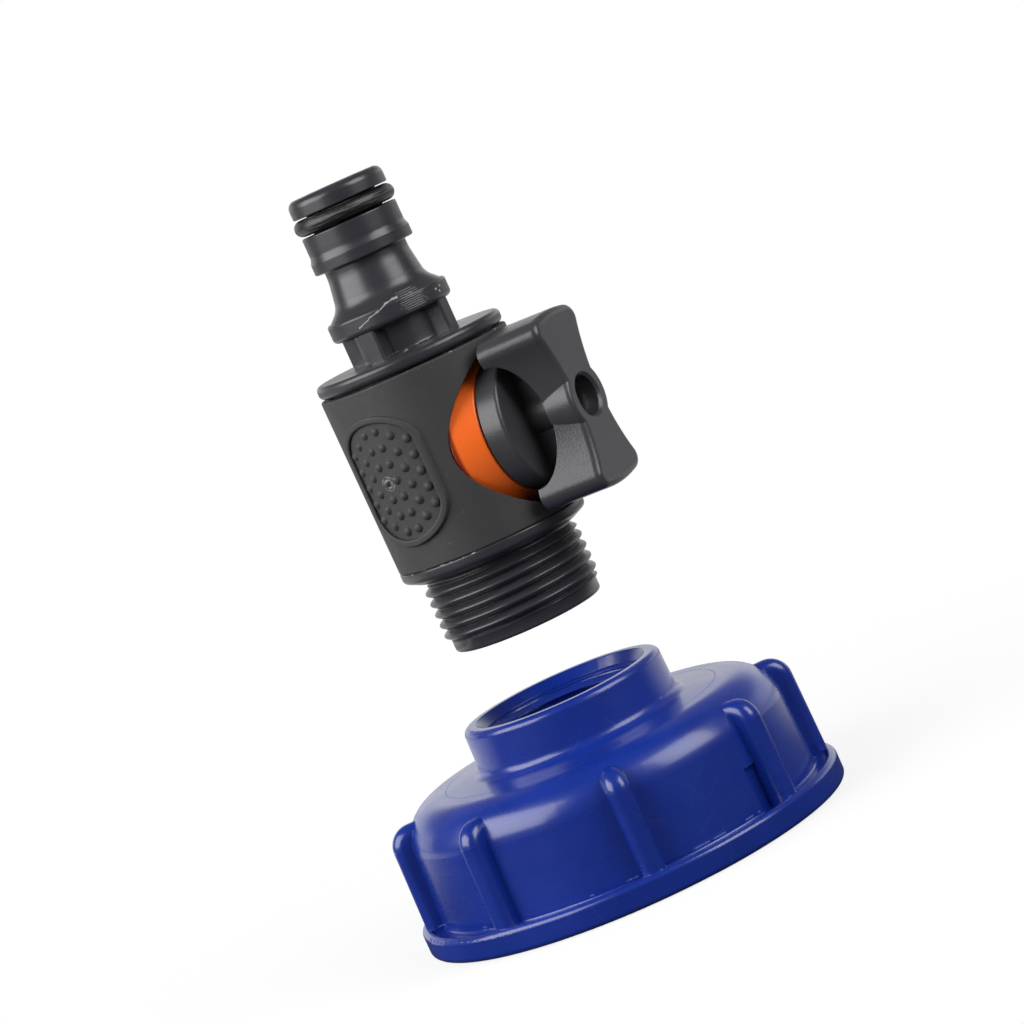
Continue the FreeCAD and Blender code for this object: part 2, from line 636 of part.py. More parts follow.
head_top = LEVER_HOLE_FLOOR + 1.7
screw = turned([
    (0, screw_tip),
    (screw_r, screw_tip, 0.3),
    (screw_r, LEVER_HOLE_FLOOR),
    (LEVER_HOLE_R - 0.5, LEVER_HOLE_FLOOR),
    (LEVER_HOLE_R - 0.5, head_top, 0.9),
    (0, head_top + 0.15),
])
cross = Part.makeBox(3.4, 0.7, 1.4, V(-1.7, -0.35, head_top - 1.0))
cross = cross.fuse(Part.makeBox(0.7, 3.4, 1.4, V(-0.35, -1.7, head_top - 1.0)))
save(on_stem(screw.cut(cross)), "lever_screw")

# spigot connector
connector = turned([
    (0, PLUG_END),
    (SOCKET_R - SEAT_GAP, PLUG_END, 0.2),
    (SOCKET_R - SEAT_GAP, TUBE_TOP),
    (LOCATOR_R, TUBE_TOP, 0.2),
    (LOCATOR_R, CONN_FLANGE_BOTTOM),
    (LIP_R, CONN_FLANGE_BOTTOM, 0.8),
    (LIP_R, CONN_FLANGE_TOP, 0.8),
    (CONN_TUBE_R, CONN_FLANGE_TOP, 0.5),
    (CONN_TUBE_R, COLLAR_BOTTOM, 0.5),
    (COLLAR_R, COLLAR_BOTTOM, 0.8),
    (COLLAR_R, COLLAR_TOP, 0.45),
    (COLLAR_R - 0.6, COLLAR_TOP),
    (NECK_R + 0.75, COLLAR_TOP + 1.7, 3.2),
    (NECK_R, NECK_BOTTOM, 6.0),
    (NECK_R, RIDGE_BOTTOM, 0.2),
    (RIDGE_R, RIDGE_BOTTOM, 0.3),
    (RIDGE_R, RIDGE_TOP, 0.3),
    (NOSE_R, RIDGE_TOP + RIDGE_RAMP, 1.6),
    (NOSE_R, GROOVE_BOTTOM, 0.2),
    (GROOVE_R, GROOVE_BOTTOM, 0.2),
    (GROOVE_R, GROOVE_TOP, 0.2),
    (NOSE_R, GROOVE_TOP, 0.2),
    (NOSE_R, TAP_TOP, TIP_EDGE_R),
    (0, TAP_TOP),
], TAP_Z)
posts = []
for k in range(POST_COUNT):
    one = Part.makeBox(POST_OUT_R, POST_W, COLLAR_BOTTOM - CONN_FLANGE_TOP + 0.4)
    one.translate(V(0, -POST_W / 2, TAP_Z + CONN_FLANGE_TOP - 0.2))
    one = one.makeFillet(0.4, edges_where(one, lambda b: b.ZLength > POST_H / 2 and b.XMin > 1))
    one.rotate(ORIGIN, UP, -90 + k * 360.0 / POST_COUNT)
    posts.append(one)
connector = connector.fuse(posts)
passage = turned([
    (0, PLUG_END - 1),
    (BORE_R, PLUG_END - 1),
    (BORE_R, COLLAR_BOTTOM),
    (NOSE_BORE_R, COLLAR_TOP),
    (NOSE_BORE_R, TAP_TOP - 0.5),
    (NOSE_BORE_R + 0.7, TAP_TOP + 0.2),
    (0, TAP_TOP + 0.2),
], TAP_Z)
save(connector.cut(passage), "spigot_connector")

groove_mid_z = TAP_Z + (GROOVE_BOTTOM + GROOVE_TOP) / 2
save(ring(GROOVE_R + 0.02 + SPIGOT_RING_R, SPIGOT_RING_R, groove_mid_z), "spigot_o_ring")
connector_ring_r = SOCKET_GAP / 2 - 0.03
connector_ring_z = TAP_Z + SOCKET_FLOOR + SOCKET_GAP / 2
save(ring((BORE_R + SOCKET_R) / 2, connector_ring_r, connector_ring_z), "connector_o_ring")
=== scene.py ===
# %% [markdown]
# A garden tap lifted off the screw cap that joins it to a water container.
# The solids come in as a fixed frame, already right in shape and size. This lesson spins the fine
# pipe threads, gives every piece its finish and sets up the studio. It starts by loading the frame.

# %% Load the frame
import json
from math import ceil, cos, floor, pi, radians, sin

import bmesh
import bpy
from mathutils import Matrix, Quaternion, Vector


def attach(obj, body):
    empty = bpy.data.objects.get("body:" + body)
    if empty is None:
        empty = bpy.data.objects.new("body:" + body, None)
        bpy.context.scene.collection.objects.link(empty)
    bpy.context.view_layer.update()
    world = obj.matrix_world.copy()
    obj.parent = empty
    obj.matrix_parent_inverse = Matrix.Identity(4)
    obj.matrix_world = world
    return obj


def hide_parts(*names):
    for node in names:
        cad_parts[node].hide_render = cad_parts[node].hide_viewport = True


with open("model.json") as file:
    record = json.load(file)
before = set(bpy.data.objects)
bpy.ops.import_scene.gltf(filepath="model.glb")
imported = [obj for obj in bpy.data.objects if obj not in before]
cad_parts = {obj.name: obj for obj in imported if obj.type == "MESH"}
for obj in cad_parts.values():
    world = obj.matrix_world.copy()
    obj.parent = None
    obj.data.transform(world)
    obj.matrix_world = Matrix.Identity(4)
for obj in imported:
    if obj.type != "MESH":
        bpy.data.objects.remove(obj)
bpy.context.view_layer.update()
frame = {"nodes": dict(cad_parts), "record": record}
MM = 0.001
MICRON = 0.001 * MM
scene = bpy.context.scene
scene.view_settings.view_transform = "Standard"

# %% [markdown]
# The photograph was taken with a long lens, from a little above the spigot's end, and the whole pair
# leans to the left in the picture. The object could be leaned, but its frame has to stay upright, so
# the camera is rolled instead. It stands about 0.6 m away and looks slightly down.

# %% Camera
CAMERA_AZIMUTH = radians(-59.2)
CAMERA_DISTANCE = 0.6195
CAMERA_HEIGHT = 0.1225
CAMERA_LENS = 139.4
CAMERA_SENSOR = 36.0
CAMERA_ROLL = 24.23
NEAREST_SEEN = 0.01
AIM = Vector((0.0023, -0.0039, 0.0590))


def place_camera():
    data = bpy.data.cameras.new("camera")
    data.lens = CAMERA_LENS
    data.sensor_width = CAMERA_SENSOR
    data.clip_start = NEAREST_SEEN
    eye = Vector((
        CAMERA_DISTANCE * sin(CAMERA_AZIMUTH),
        -CAMERA_DISTANCE * cos(CAMERA_AZIMUTH),
        CAMERA_HEIGHT,
    ))
    camera = bpy.data.objects.new("camera", data)
    roll = Quaternion((0, 0, 1), radians(-CAMERA_ROLL))
    turn = (AIM - eye).to_track_quat("-Z", "Y") @ roll
    camera.matrix_world = Matrix.Translation(eye) @ turn.to_matrix().to_4x4()
    scene.collection.objects.link(camera)
    scene.camera = camera
    return eye


eye = place_camera()
print("camera stands at", [round(v, 3) for v in eye])

# %% [markdown]
# Every finish here is a node tree. Adding a node, setting it and linking it takes three lines each
# time, so one short helper does all three, and what follows reads like a recipe. A value for a socket
# is either a plain number or another node's output.

# %% Node helpers
def put(tree, kind, sockets=None, **settings):
    """Adds a shader node, with its settings, and fills its sockets."""
    node = tree.nodes.new("ShaderNode" + kind)
    for key, value in settings.items():
        setattr(node, key, value)
    for key, value in (sockets or {}).items():
        if isinstance(value, bpy.types.NodeSocket):
            tree.links.new(value, node.inputs[key])
        else:
            node.inputs[key].default_value = value
    return node


def calc(tree, operation, a, b=0.0, c=0.0):
    """One step of arithmetic on numbers or sockets."""
    node = put(tree, "Math", {0: a, 1: b, 2: c}, operation=operation)
    return node.outputs[0]


def span(tree, value, low, high, to_low=0.0, to_high=1.0, kind="LINEAR"):
    """Maps low to high onto to_low to to_high, and stops at both ends."""
    sockets = {
        "Value": value,
        "From Min": low,
        "From Max": high,
        "To Min": to_low,
        "To Max": to_high,
    }
    return put(tree, "MapRange", sockets, interpolation_type=kind).outputs["Result"]


def along(tree, point, way):
    """How far a point lies along a direction."""
    node = put(tree, "VectorMath", {0: point, 1: way}, operation="DOT_PRODUCT")
    return node.outputs["Value"]


def away_from(tree, point, centre):
    """How far a point lies from a centre."""
    node = put(tree, "VectorMath", {0: point, 1: centre}, operation="DISTANCE")
    return node.outputs["Value"]


def length_of(tree, vector):
    return put(tree, "VectorMath", {0: vector}, operation="LENGTH").outputs["Value"]


print("node helpers ready")

# %% [markdown]
# A white sweep stands behind the real object, and the room in front of it is dark. The camera sees
# plain white. Glossy plastic mirrors the sweep as bright rims along both its flanks, a little broader
# on the right, and only up to a low height. A lamp as wide as that would also flood the floor, so the
# world draws the sweep for mirrored rays alone, and matt surfaces get a softer fill of their own.

# %% Room
FRONT_GLOW = 0.08
FRONT_FILL = 0.26
SWEEP_FILL = 0.85
SWEEP_LEAN = 0.12
SWEEP_EDGE = (0.50, 0.58)
SWEEP_TOP = (0.22, 0.42)
OVER_SWEEP = 0.12
FILL_EDGE = (0.30, 0.70)
WHITE = (1, 1, 1, 1)


def mirrored_sweep(tree, facing, height):
    reach = span(tree, facing, *SWEEP_EDGE, kind="SMOOTHSTEP")
    rise = span(tree, height, *SWEEP_TOP, 1.0, OVER_SWEEP, "SMOOTHSTEP")
    sweep = calc(tree, "MULTIPLY", reach, rise)
    return span(tree, sweep, 0.0, 1.0, FRONT_GLOW, 1.0)


def build_room():
    world = bpy.data.worlds.new("room")
    scene.world = world
    world.use_nodes = True
    tree = world.node_tree
    tree.nodes.clear()
    way = put(tree, "TexCoord").outputs["Generated"]
    back = Vector((-eye.x, -eye.y, 0)).normalized()
    right = Vector((cos(CAMERA_AZIMUTH), sin(CAMERA_AZIMUTH), 0))
    facing = calc(tree, "MULTIPLY_ADD", along(tree, way, right), SWEEP_LEAN, along(tree, way, back))
    height = put(tree, "SeparateXYZ", {0: way}).outputs["Z"]
    in_mirror = mirrored_sweep(tree, facing, height)
    on_matt = span(tree, facing, *FILL_EDGE, FRONT_FILL, SWEEP_FILL, "SMOOTHSTEP")
    ray = put(tree, "LightPath").outputs
    mirrored = calc(tree, "MAXIMUM", ray["Is Glossy Ray"], ray["Is Transmission Ray"])
    lit = put(tree, "Mix", {0: mirrored, 2: on_matt, 3: in_mirror})
    strength = put(tree, "Mix", {0: ray["Is Camera Ray"], 2: lit.outputs[0], 3: 1.0})
    sky = put(tree, "Background", {"Color": WHITE, "Strength": strength.outputs[0]})
    end = put(tree, "OutputWorld")
    tree.links.new(sky.outputs[0], end.inputs["Surface"])
    return world


print("room:", build_room().name)

# %% [markdown]
# Two large soft boxes light the object from above, about 30 degrees up: a wide one far to the left of
# the camera and a narrower, weaker one to its right. A single lamp in front would flatten the round
# pieces, while the darker middle between two side lamps keeps them round.

# %% Lamps
LAMP_AIM = Vector((0, 0, 0.06))


def soft_box(name, turn, rise, distance, width, height, power):
    """A soft box that stands turn degrees to the right of the camera and rise degrees up."""
    data = bpy.data.lights.new(name, "AREA")
    data.shape = "RECTANGLE"
    data.size = width
    data.size_y = height
    data.energy = power
    lamp = bpy.data.objects.new(name, data)
    angle = CAMERA_AZIMUTH + radians(turn)
    flat = distance * cos(radians(rise))
    up = distance * sin(radians(rise))
    place = LAMP_AIM + Vector((flat * sin(angle), -flat * cos(angle), up))
    turned = (LAMP_AIM - place).to_track_quat("-Z", "Y")
    lamp.matrix_world = Matrix.Translation(place) @ turned.to_matrix().to_4x4()
    scene.collection.objects.link(lamp)
    return lamp


soft_box("left_box", turn=-67, rise=28, distance=0.60, width=0.68, height=0.46, power=4.9)
soft_box("right_box", turn=56, rise=30, distance=0.60, width=0.40, height=0.42, power=2.7)

# %% [markdown]
# The floor is a plain white disc. Near the object it takes the shadow, and further out it fades to
# the white of the room, so no horizon shows. Toward the camera the white sheet ends and a dark table
# begins, which only reflections and bounced light see, so that the object's flanks don't mirror a
# bright floor.

# %% Floor
SHEET = (0.86, 0.86, 0.86, 1)
TABLE = (0.07, 0.07, 0.07, 1)
SHEET_END = (-0.12, -0.02)
FLOOR_RADIUS = 12.0
FLOOR_DROP = 0.0001
SHADOW_REACH = (0.035, 0.15)
SHADOW_DEPTH = 0.20


def floor_finish():
    """Two floors in one: what the camera sees, and what the rest of the light sees."""
    finish = bpy.data.materials.new("floor_white")
    finish.use_nodes = True
    tree = finish.node_tree
    tree.nodes.clear()
    place = put(tree, "TexCoord").outputs["Object"]
    take = span(tree, length_of(tree, place), *SHADOW_REACH, SHADOW_DEPTH, 0.0, "SMOOTHSTEP")
    lit = put(tree, "BsdfDiffuse", {"Color": SHEET})
    plain = put(tree, "Emission", {"Color": WHITE, "Strength": 1.0})
    shown = put(tree, "MixShader", {0: take, 1: plain.outputs[0], 2: lit.outputs[0]})
    toward_eye = Vector((eye.x, eye.y, 0)).normalized()
    sheet = span(tree, along(tree, place, toward_eye), *SHEET_END, 1.0, 0.0, "SMOOTHSTEP")
    tone = put(tree, "Mix", {0: sheet, 6: TABLE, 7: SHEET}, data_type="RGBA")
    around = put(tree, "BsdfDiffuse", {"Color": tone.outputs[2]})
    seen = put(tree, "LightPath").outputs["Is Camera Ray"]
    both = put(tree, "MixShader", {0: seen, 1: around.outputs[0], 2: shown.outputs[0]})
    end = put(tree, "OutputMaterial")
    tree.links.new(both.outputs[0], end.inputs["Surface"])
    return finish


def build_floor():
    mesh = bpy.data.meshes.new("floor")
    shape = bmesh.new()
    bmesh.ops.create_circle(shape, cap_ends=True, segments=96, radius=FLOOR_RADIUS)
    shape.to_mesh(mesh)
    shape.free()
    mesh.materials.append(floor_finish())
    floor_disc = bpy.data.objects.new("floor", mesh)
    floor_disc.location.z = -FLOOR_DROP
    scene.collection.objects.link(floor_disc)
    return floor_disc


print("floor:", build_floor().name)

# %% [markdown]
# The pipe thread is a fine 3/4 inch thread with 14 turns to the inch. One pitch of its outline is an
# arch: a rounded crest that falls steeply on both sides into a narrow root. A stack of rings would be
# simpler but wouldn't climb, so the arch is spun round the axis while it rises by a pitch a turn. The
# skin that this gives is then cut level at both ends.

# %% Thread skin
PITCH = 1.814 * MM
CREST_R = 13.22 * MM
ROOT_R = 12.16 * MM
ARCH_POWER = 1.15
ARCH_ROWS = 24
TURN_STEPS = 120
THREAD_START = 42.9 * MM
SAME_POINT = 2 * MICRON
ON_CUT = 0.5 * MICRON


def arch(share):
    """Radius of the male thread for a share of the pitch from crest to crest."""
    return ROOT_R + (CREST_R - ROOT_R) * abs(cos(pi * share)) ** ARCH_POWER


def cut_level(shape, height, side):
    """Cuts off what lies above a height (side 1) or below it (side -1)."""
    bmesh.ops.bisect_plane(
        shape,
        geom=shape.verts[:] + shape.edges[:] + shape.faces[:],
        dist=ON_CUT,
        plane_co=(0, 0, height),
        plane_no=(0, 0, side),
        clear_outer=True,
    )


def thread_skin(low, high, anchor, gap):
    """A right-handed thread skin from low to high with a crest at anchor, a gap outside the male form."""
    shape = bmesh.new()
    start = anchor + floor((low - anchor) / PITCH - 1) * PITCH
    turns = ceil((high - start) / PITCH) + 1
    column = []
    for row in range(ARCH_ROWS + 1):
        share = row / ARCH_ROWS
        column.append(shape.verts.new((arch(share) + gap, 0, start + share * PITCH)))
    edges = [shape.edges.new(pair) for pair in zip(column, column[1:])]
    bmesh.ops.spin(
        shape,
        geom=column + edges,
        cent=(0, 0, 0),
        axis=(0, 0, 1),
        dvec=(0, 0, PITCH / TURN_STEPS),
        angle=2 * pi * turns,
        steps=TURN_STEPS * turns,
        use_merge=False,
        use_duplicate=False,
    )
    bmesh.ops.remove_doubles(shape, verts=shape.verts, dist=SAME_POINT)
    cut_level(shape, low, -1)
    cut_level(shape, high, 1)
    print("thread skin:", turns, "turns,", len(shape.faces), "faces")
    return shape


# %% [markdown]
# The skin is fitted to its neighbours by moving its points in or out from the axis, and by joining its
# open edges, which lie in two level rims. These small tools do that.

# %% Fitting tools
AT_RIM = 3 * MICRON
SMOOTH_UP_TO = radians(32)


def radius_of(vert):
    return Vector((vert.co.x, vert.co.y)).length


def set_radius(vert, wanted):
    change = wanted / radius_of(vert)
    vert.co.x *= change
    vert.co.y *= change


def rim(shape, height):
    """The open edges that lie at one height."""
    edges = [edge for edge in shape.edges if len(edge.link_faces) == 1]
    return [edge for edge in edges if all(abs(v.co.z - height) < AT_RIM for v in edge.verts)]


def add_mesh(shape, other):
    """Moves the faces of another bmesh into shape."""
    mesh = bpy.data.meshes.new("carried")
    other.to_mesh(mesh)
    other.free()
    shape.from_mesh(mesh)
    bpy.data.meshes.remove(mesh)


def object_of(shape, name):
    """Makes a closed bmesh an object, smooth but for its real corners."""
    bmesh.ops.recalc_face_normals(shape, faces=shape.faces)
    open_edges = [edge for edge in shape.edges if len(edge.link_faces) != 2]
    mesh = bpy.data.meshes.new(name)
    shape.to_mesh(mesh)
    shape.free()
    mesh.shade_smooth()
    mesh.set_sharp_from_angle(angle=SMOOTH_UP_TO)
    made = bpy.data.objects.new(name, mesh)
    scene.collection.objects.link(made)
    print(name, "has", len(mesh.polygons), "faces and", len(open_edges), "open edges")
    return made


print("fitting tools ready")

# %% [markdown]
# On the real valve body the male thread begins above a plain lead with a bevel, and runs out into a
# relief under the lip. The solid's plain wall stands where the crests are and would fill the grooves,
# so the wall and the two bevels at its ends are taken off a merged copy. The skin is held inside the
# bevel below and dies away above, and its two rims are bridged to the body's open rims.

# %% Male thread
LEAD_R = 12.4 * MM
LEAD_TOP = 44.4 * MM
LEAD_BEVEL = 0.7 * MM
RELIEF_R = 12.1 * MM
RELIEF_LOW = 54.095 * MM
RUN_OUT = 1.1 * MM
SEAM = 0.05 * MM


def male_skin(low, high):
    skin = thread_skin(low, high, THREAD_START, 0.0)
    for vert in skin.verts:
        lead = LEAD_R + (vert.co.z - LEAD_TOP) / LEAD_BEVEL * (CREST_R - LEAD_R)
        fade = RELIEF_R + (RELIEF_LOW - vert.co.z) / RUN_OUT * (CREST_R - RELIEF_R)
        set_radius(vert, min(radius_of(vert), lead, fade))
    return skin


def on_plain_wall(vert):
    """Whether a point lies on the plain crest wall or the bevels at its ends."""
    in_height = LEAD_TOP - SEAM / 2 < vert.co.z < RELIEF_LOW + SEAM / 2
    return in_height and radius_of(vert) > RELIEF_R - SEAM


def threaded_body():
    shape = bmesh.new()
    shape.from_mesh(frame["nodes"]["valve_body"].data)
    bmesh.ops.remove_doubles(shape, verts=shape.verts, dist=SAME_POINT)
    plain = [face for face in shape.faces if all(on_plain_wall(vert) for vert in face.verts)]
    print("plain faces taken off:", len(plain))
    bmesh.ops.delete(shape, geom=plain, context="FACES")
    low = LEAD_TOP + SEAM
    high = RELIEF_LOW - SEAM
    add_mesh(shape, male_skin(low, high))
    for own, new in ((LEAD_TOP, low), (RELIEF_LOW, high)):
        bmesh.ops.bridge_loops(shape, edges=rim(shape, own) + rim(shape, new))
    return object_of(shape, "valve_body_threaded")


threaded = threaded_body()
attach(threaded, "tap")
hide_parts("valve_body")

# %% [markdown]
# In the cap's hub the same thread stands inward from the wall, a little wider all round. It is in
# step with the tap's thread once the tap has been let down by its whole travel. It fades into the
# bore at both ends, slowly at the bottom, where the tap's plain lead comes to stand. A wall just
# behind the bore's own closes it, so that it is a solid ring and not a loose skin.

# %% Hub thread
LIFT_TRAVEL = 23.9 * MM
THREAD_GAP = 0.15 * MM
HUB_BORE_R = 13.52 * MM
HUB_BACK_R = 13.58 * MM
HUB_LOW = 18.5 * MM
HUB_HIGH = 28.6 * MM
LOW_FADE = 0.5
HIGH_FADE = 1.0


def close_behind(shape):
    """Turns both rims outward to the back radius and joins them with a wall."""
    backs = []
    for height in (HUB_LOW, HUB_HIGH):
        grown = bmesh.ops.extrude_edge_only(shape, edges=rim(shape, height))["geom"]
        for vert in [part for part in grown if isinstance(part, bmesh.types.BMVert)]:
            set_radius(vert, HUB_BACK_R)
        backs += [part for part in grown if isinstance(part, bmesh.types.BMEdge)]
    bmesh.ops.bridge_loops(shape, edges=backs)


def build_hub_thread():
    shape = thread_skin(HUB_LOW, HUB_HIGH, THREAD_START - LIFT_TRAVEL, THREAD_GAP)
    for vert in shape.verts:
        depth = min((vert.co.z - HUB_LOW) * LOW_FADE, (HUB_HIGH - vert.co.z) * HIGH_FADE)
        set_radius(vert, max(radius_of(vert), HUB_BORE_R - depth))
    close_behind(shape)
    return object_of(shape, "hub_thread")


hub_thread = build_hub_thread()
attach(hub_thread, "cap")

# %% [markdown]
# Every finish reads the object's own coordinates, so it sticks to its piece when the tap is lifted or
# the lever turned. Nearly every piece here is round, so places are given as on a lathe: an angle round
# the axis in degrees, a radius and a height in mm. The angle counts to the right from the side that
# carries the most wear.

# %% Round coordinates
WEAR_SIDE = radians(-59.2)
WEAR_FRONT = Vector((sin(WEAR_SIDE), -cos(WEAR_SIDE), 0))
WEAR_RIGHT = Vector((cos(WEAR_SIDE), sin(WEAR_SIDE), 0))


def spot(angle, radius, height):
    """The point at an angle in degrees, a radius and a height in mm."""
    turn = radians(angle)
    flat = (WEAR_FRONT * cos(turn) + WEAR_RIGHT * sin(turn)) * radius
    return (flat + Vector((0, 0, height))) * MM


def round_places(tree):
    """Sockets with the point, and its radius in m, angle in degrees and height in m."""
    point = put(tree, "TexCoord").outputs["Object"]
    parts = put(tree, "SeparateXYZ", {0: point}).outputs
    flat = put(tree, "CombineXYZ", {0: parts["X"], 1: parts["Y"]}).outputs[0]
    turn = calc(tree, "ARCTAN2", along(tree, point, WEAR_RIGHT), along(tree, point, WEAR_FRONT))
    return point, length_of(tree, flat), calc(tree, "DEGREES", turn), parts["Z"]


print("a place on the collar:", spot(0, 10, 96))

# %% [markdown]
# Grain and wear both start from noise. Squeezed along one axis, noise gives the fine level lines that
# a lathe or a polished mould leaves, and a cut through it gives broken, ragged edges.

# %% Noise
def noise(tree, point, scale, detail=2.0, rough=0.5):
    """Noise with scale cells to the metre."""
    sockets = {"Vector": point, "Scale": scale, "Detail": detail, "Roughness": rough}
    return put(tree, "TexNoise", sockets).outputs["Fac"]


def drawn_noise(tree, point, scales, detail=2.0, rough=0.5):
    """Noise with its own scale along x, y and z."""
    drawn = put(tree, "Mapping", {"Vector": point, "Scale": scales}).outputs["Vector"]
    return noise(tree, drawn, 1.0, detail, rough)


print("noise ready")

# %% [markdown]
# Wear is painted with masks, which are 1 where the wear is and 0 elsewhere. Masks that are multiplied
# keep what they share, and the greatest of several masks joins them.

# %% Masks
def times(tree, *masks):
    result = masks[0]
    for mask in masks[1:]:
        result = calc(tree, "MULTIPLY", result, mask)
    return result


def most(tree, *masks):
    result = masks[0]
    for mask in masks[1:]:
        result = calc(tree, "MAXIMUM", result, mask)
    return result


def band(tree, value, low, high, edge):
    """1 between low and high, with soft edges outside them."""
    rising = span(tree, value, low - edge, low)
    falling = span(tree, value, high, high + edge, 1.0, 0.0)
    return times(tree, rising, falling)


def band_mm(tree, value, low, high, edge):
    """A band whose ends are given in mm."""
    return band(tree, value, low * MM, high * MM, edge * MM)


print("masks ready")

# %% [markdown]
# These four are the shapes that the wear on this object is made of: a knocked spot, a hairline, dust,
# and the line of a long scratch. Each is placed by numbers, so that it can follow the real mark.

# %% Shapes of wear
def blot(tree, point, centre, size):
    """A ragged blot that reaches up to about size mm from a point."""
    ragged = noise(tree, point, 2200, 3.0, 0.7)
    reach = calc(tree, "MULTIPLY_ADD", ragged, size * MM, away_from(tree, point, centre))
    return span(tree, reach, size * 1.35 * MM, size * 1.1 * MM)


def hair(tree, point, centre, radius, width):
    """A hairline where a ball of a given radius in mm round a point cuts the surface."""
    off = calc(tree, "SUBTRACT", away_from(tree, point, centre), radius * MM)
    return span(tree, calc(tree, "ABSOLUTE", off), width * MM, width * 0.4 * MM)


def specks(tree, point, scale, size, share):
    """Small round specks, one in a share of the cells of a grid with scale cells to the metre."""
    cells = put(tree, "TexVoronoi", {"Vector": point, "Scale": scale}).outputs
    lots = put(tree, "SeparateXYZ", {0: cells["Color"]}).outputs["X"]
    near = span(tree, cells["Distance"], size, size * 0.6)
    return times(tree, near, calc(tree, "GREATER_THAN", lots, 1.0 - share))


def path(tree, value, stops):
    """The height of a line through (angle, height) stops, at the angle that value gives."""
    low = min(height for _, height in stops)
    high = max(height for _, height in stops)
    first = stops[0][0]
    last = stops[-1][0]
    ramp = put(tree, "ValToRGB", {0: span(tree, value, first, last)})
    marks = ramp.color_ramp.elements
    for angle, _ in stops[1:-1]:
        marks.new((angle - first) / (last - first))
    for mark, (_, height) in zip(marks, stops):
        share = (height - low) / (high - low)
        mark.color = (share, share, share, 1)
    return span(tree, ramp.outputs["Color"], 0.0, 1.0, low, high)


print("shapes of wear ready")

# %% [markdown]
# A finish is built up in layers, as it comes about: the plain colour and gloss of the moulding first,
# then what polishing, grain and handling add. Each layer goes over the ones before it. Heights are in
# metres and are added up into one bump, and a fine bevel rounds the edges that the solids leave sharp.

# %% Finish in layers
SLOW_SCALE = 80.0
GLOSS_DRIFT = 0.03
SOFT_EDGE = 0.15 * MM


class Finish:
    """A material in the making: its colour, gloss and relief so far."""

    def __init__(self, name, colour, gloss, shade=0.88):
        self.material = bpy.data.materials.new(name)
        self.material.use_nodes = True
        self.tree = self.material.node_tree
        self.tree.nodes.clear()
        self.skin = put(self.tree, "BsdfPrincipled")
        end = put(self.tree, "OutputMaterial")
        self.tree.links.new(self.skin.outputs["BSDF"], end.inputs["Surface"])
        self.point, self.radius, self.angle, self.height = round_places(self.tree)
        self.edge = put(self.tree, "Bevel", {"Radius": SOFT_EDGE}, samples=4).outputs[0]
        slow = noise(self.tree, self.point, SLOW_SCALE, 3.0)
        dark = [part * shade for part in colour] + [1]
        self.colour = self.mixed(span(self.tree, slow, 0.35, 0.65), dark, list(colour) + [1])
        self.gloss = span(self.tree, slow, 0.3, 0.7, gloss - GLOSS_DRIFT, gloss + GLOSS_DRIFT)
        self.relief = 0.0

    def mixed(self, mask, under, over):
        return put(self.tree, "Mix", {0: mask, 6: under, 7: over}, data_type="RGBA").outputs[2]

    def tint(self, mask, colour, strength=1.0):
        mask = calc(self.tree, "MULTIPLY", mask, strength)
        self.colour = self.mixed(mask, self.colour, list(colour) + [1])

    def dull(self, mask, amount):
        self.gloss = calc(self.tree, "MULTIPLY_ADD", mask, amount, self.gloss)

    def lift(self, mask, height):
        self.relief = calc(self.tree, "MULTIPLY_ADD", mask, height, self.relief)

    def done(self):
        sockets = {"Strength": 1.0, "Distance": 1.0, "Height": self.relief, "Normal": self.edge}
        bump = put(self.tree, "Bump", sockets)
        self.tree.links.new(self.colour, self.skin.inputs["Base Color"])
        self.tree.links.new(self.gloss, self.skin.inputs["Roughness"])
        self.tree.links.new(bump.outputs[0], self.skin.inputs["Normal"])
        print(self.material.name, "has", len(self.tree.nodes), "nodes")
        return self.material


finishes = {}

# %% [markdown]
# The cap is glossy blue polypropylene. A thin coat over a slightly rougher plastic gives it both its
# clear highlights and the soft glow round them. Its mould was polished round and round, which leaves
# faint level streaks, and a slow unevenness lets the reflections waver, as on a real moulding.

# %% Cap plastic
CAP_BLUE = (0.005, 0.027, 0.270)
CAP_GLOSS = 0.27
CAP_COAT = 0.35
CAP_COAT_GLOSS = 0.15


def cap_plastic():
    made = Finish("cap_blue", CAP_BLUE, CAP_GLOSS, shade=0.84)
    tree = made.tree
    made.skin.inputs["Coat Weight"].default_value = CAP_COAT
    made.skin.inputs["Coat Roughness"].default_value = CAP_COAT_GLOSS
    streak = drawn_noise(tree, made.point, (22, 22, 800))
    made.lift(streak, 0.6 * MICRON)
    made.dull(span(tree, streak, 0.40, 0.75), 0.04)
    made.lift(noise(tree, made.point, 220, 1.0), 30 * MICRON)
    made.lift(noise(tree, made.point, 2500, 1.0), 2 * MICRON)
    return made


print("cap plastic ready")

# %% [markdown]
# A plain thin ring is cut in the dome, and pale dashes show where body and flange meet: flash with
# painted glints along it. Both could be modelled, but they are a tenth of a millimetre wide, so they
# are bands of radius and height.

# %% Cap ring, flash and painted glints
CAP_PALE = (0.16, 0.22, 0.62)
RING_R = 23.3
RING_HALF = 0.06
DOME_TOP = (22.2, 22.5)
FLANGE_TOP = 4.2
FLASH_GLINT_HEIGHT = 0.14
FLASH_GLINT_RADII = (31.5, 33.2)


def cut_ring(made):
    tree = made.tree
    ring = times(
        tree,
        band_mm(tree, made.radius, RING_R - RING_HALF, RING_R + RING_HALF, RING_HALF),
        span(tree, made.height, DOME_TOP[0] * MM, DOME_TOP[1] * MM),
    )
    made.lift(ring, -50 * MICRON)
    made.dull(ring, 0.2)


